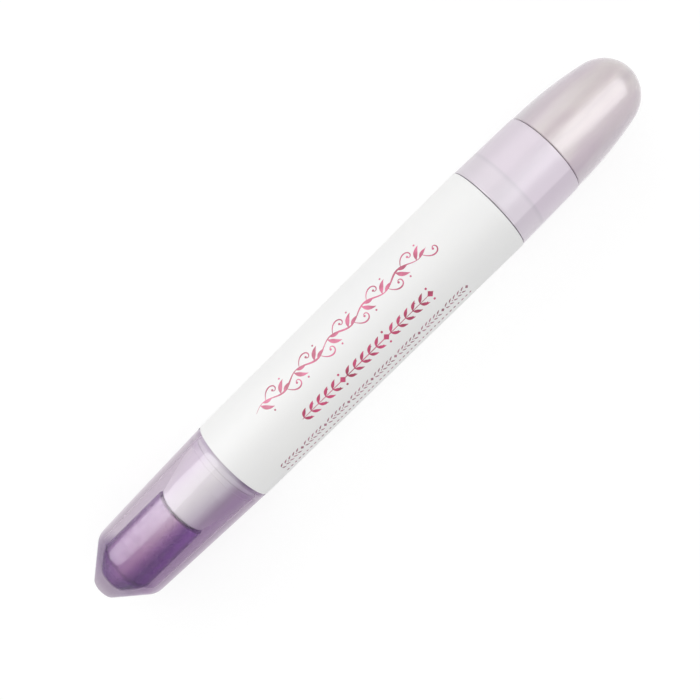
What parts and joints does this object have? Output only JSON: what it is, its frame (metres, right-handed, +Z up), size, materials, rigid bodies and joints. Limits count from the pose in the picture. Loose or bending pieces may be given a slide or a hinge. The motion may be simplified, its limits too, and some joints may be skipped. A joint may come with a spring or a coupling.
{
  "type": "nail polish remover pen",
  "caption": "Felt-tip nail polish remover pen with a fluid core in its barrel, a sealed translucent nib cap and a pull-off dome cap over spare tips.",
  "frame": {"origin": "under the middle of the pen, on the surface that it lies on, with its round side resting there", "axes": "+X along the pen from the pointed nib cap to the domed tail cap, +Z up, +Y to the side"},
  "size_m": [0.1244, 0.0166, 0.0166],
  "materials": {
    "cap_shell": "clear pale lilac gloss",
    "cap_cup": "translucent deep purple gloss",
    "nose": "white satin",
    "barrel": "white satin gloss with a printed ornament",
    "felt": "cream felt",
    "fibre": "bonded white fibre",
    "film": "thin clear film",
    "stopper": "natural soft plastic",
    "collar": "translucent pale lilac gloss",
    "rack": "white matte",
    "dome": "pearly translucent gloss"
  },
  "bodies": {
    "pen": {"barrel": "barrel", "nose_section": "nose", "fluid_reservoir": "fibre", "reservoir_wrap": "film", "rear_plug": "stopper", "tail_collar": "collar", "spare_tip_rack": "rack"},
    "nib_cap": {"nib_cap_shell": "cap_shell", "nib_cap_inner_cup": "cap_cup"},
    "tail_cap": {"tail_cap": "dome"},
    "felt_tip": {"felt_tip": "felt"},
    "spare_tip_1": {"spare_tip_1": "felt"},
    "spare_tip_2": {"spare_tip_2": "felt"},
    "spare_tip_3": {"spare_tip_3": "felt"}
  },
  "joints": [
    {"name": "nib_cap_pull", "type": "slide", "parent": "pen", "child": "nib_cap", "axis": [-1, 0, 0], "range_m": [0, 0.045]},
    {"name": "tail_cap_pull", "type": "slide", "parent": "pen", "child": "tail_cap", "axis": [1, 0, 0], "range_m": [0, 0.03]},
    {"name": "felt_tip_pull", "type": "slide", "parent": "pen", "child": "felt_tip", "axis": [-1, 0, 0], "range_m": [0, 0.005]},
    {"name": "spare_tip_1_pull", "type": "slide", "parent": "pen", "child": "spare_tip_1", "axis": [1, 0, 0], "range_m": [0, 0.004]},
    {"name": "spare_tip_2_pull", "type": "slide", "parent": "pen", "child": "spare_tip_2", "axis": [1, 0, 0], "range_m": [0, 0.004]},
    {"name": "spare_tip_3_pull", "type": "slide", "parent": "pen", "child": "spare_tip_3", "axis": [1, 0, 0], "range_m": [0, 0.004]}
  ]
}
